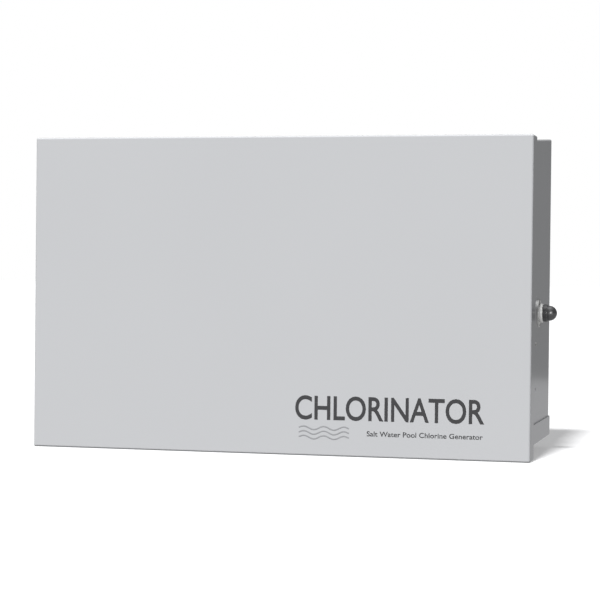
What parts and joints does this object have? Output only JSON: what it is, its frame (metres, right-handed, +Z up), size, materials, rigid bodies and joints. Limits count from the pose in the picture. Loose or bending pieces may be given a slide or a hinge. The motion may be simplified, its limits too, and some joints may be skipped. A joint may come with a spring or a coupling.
{
  "type": "salt chlorine generator",
  "caption": "Wall-hung steel power box for a pool salt chlorinator, with a hinged full-size door, side knob latch, sloping top, control panel and wiring bay.",
  "frame": {"origin": "centre of the four wall fixings of the wall bracket, on the wall's face", "axes": "+X to the right of someone facing the door, +Y into the wall, +Z up"},
  "size_m": [0.4149, 0.151, 0.2543],
  "materials": {
    "powder_coat": "satin",
    "galvanised": "satin",
    "bright_zinc": "polished",
    "zinc_screw": "satin",
    "black_knob": "glossy",
    "seal_foam": "matte",
    "label": "satin",
    "panel_paint": "satin",
    "key_rubber": "matte",
    "bezel": "satin",
    "window": "clear",
    "display": "satin",
    "green_board": "satin",
    "black_plastic": "satin",
    "green_plastic": "satin",
    "status_light": "glossy",
    "core_steel": "satin",
    "coil_tape": "satin",
    "can_sleeve": "glossy",
    "relay_case": "satin",
    "heat_sink": "satin",
    "brass": "satin",
    "lead_red": "satin",
    "fuse": "satin"
  },
  "bodies": {
    "case": {"board_spacers": "black_plastic", "bonding_lug": "brass", "bottom_tray": "powder_coat", "bracket_lock_screw": "zinc_screw", "capacitors": "can_sleeve", "case_hinge_rivets": "zinc_screw", "case_shell": "powder_coat", "cell_leads": "lead_red", "cell_socket": "black_plastic", "control_panel": "panel_paint", "display_bezel": "bezel", "display_board": "green_board", "display_window": "window", "divider_shelf": "galvanised", "fuse_holder": "fuse", "ground_bar": "brass", "hanger_rail": "galvanised", "heat_sink": "heat_sink", "latch_bushing": "bright_zinc", "latch_nut": "zinc_screw", "latch_rosette": "bright_zinc", "lcd_module": "display", "low_voltage_block": "green_plastic", "lower_hinge_case_leaf": "galvanised", "lower_hinge_pin": "zinc_screw", "main_board": "green_board", "mains_terminal_block": "black_plastic", "panel_posts": "brass", "panel_screws": "zinc_screw", "power_devices": "black_plastic", "relays": "relay_case", "sensor_grommet": "seal_foam", "side_screws": "zinc_screw", "socket_nut": "black_plastic", "status_lenses": "status_light", "tact_switches": "black_plastic", "terminal_screws": "zinc_screw", "transformer_brackets": "galvanised", "transformer_coil": "coil_tape", "transformer_core": "core_steel", "tray_screws": "zinc_screw", "upper_hinge_case_leaf": "galvanised", "upper_hinge_pin": "zinc_screw", "wall_bracket": "galvanised", "wiring_cover": "panel_paint"},
    "door": {"door_panel": "powder_coat", "door_gasket": "seal_foam", "door_label": "label", "door_striker": "galvanised", "door_rivets": "zinc_screw", "lower_hinge_door_leaf": "galvanised", "upper_hinge_door_leaf": "galvanised"},
    "latch": {"latch_knob": "black_knob", "latch_shaft": "zinc_screw", "latch_pawl": "galvanised", "pawl_screw": "zinc_screw"},
    "left_key": {"left_key": "key_rubber"},
    "right_key": {"right_key": "key_rubber"},
    "menu_key": {"menu_key": "key_rubber"},
    "enter_key": {"enter_key": "key_rubber"}
  },
  "joints": [
    {"name": "door_hinge", "type": "hinge", "parent": "case", "child": "door", "pos_m": [-0.2, -0.126, 0], "axis": [0, 0, -1], "range_deg": [0, 150]},
    {"name": "latch_turn", "type": "hinge", "parent": "case", "child": "latch", "pos_m": [0.1973, -0.0886, -0.02], "axis": [1, 0, 0], "range_deg": [0, 90]},
    {"name": "left_key_press", "type": "slide", "parent": "case", "child": "left_key", "axis": [0, 1, 0], "range_m": [0, 0.001], "stiffness_N_per_m": 400, "springref_m": -0.002},
    {"name": "right_key_press", "type": "slide", "parent": "case", "child": "right_key", "axis": [0, 1, 0], "range_m": [0, 0.001], "stiffness_N_per_m": 400, "springref_m": -0.002},
    {"name": "menu_key_press", "type": "slide", "parent": "case", "child": "menu_key", "axis": [0, 1, 0], "range_m": [0, 0.001], "stiffness_N_per_m": 400, "springref_m": -0.002},
    {"name": "enter_key_press", "type": "slide", "parent": "case", "child": "enter_key", "axis": [0, 1, 0], "range_m": [0, 0.001], "stiffness_N_per_m": 400, "springref_m": -0.002}
  ]
}
